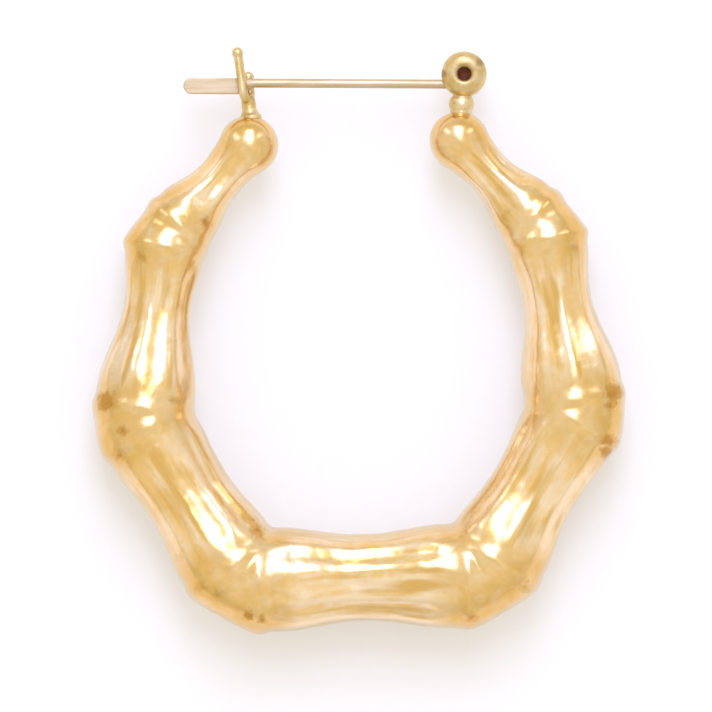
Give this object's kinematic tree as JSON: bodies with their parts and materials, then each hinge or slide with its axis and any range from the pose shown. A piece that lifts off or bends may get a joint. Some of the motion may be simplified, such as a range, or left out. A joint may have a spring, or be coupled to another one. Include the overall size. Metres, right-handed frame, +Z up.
{
  "type": "bamboo hoop earring",
  "caption": "Gold-coloured bamboo hoop earring with jointed round tubes, raised crests, a hinged ear post and a forked catch.",
  "frame": {"origin": "middle of the box round the earring, on the surface that it lies on", "axes": "+Z up out of the surface, +Y from the base of the hoop to the clasp, +X to the hinge's side"},
  "size_m": [0.041, 0.045, 0.0084],
  "materials": {
    "gold": "polished",
    "tarnished_pin": "tarnished",
    "gold_wire": "polished"
  },
  "bodies": {
    "hoop": {"hoop": "gold", "hinge_pin": "tarnished_pin"},
    "post": {"ear_post": "gold_wire"}
  },
  "joints": [
    {"name": "post_hinge", "type": "hinge", "parent": "hoop", "child": "post", "pos_m": [0.00856, 0.0201, 0.0042], "axis": [0, 0, -1], "range_deg": [0, 100]}
  ]
}
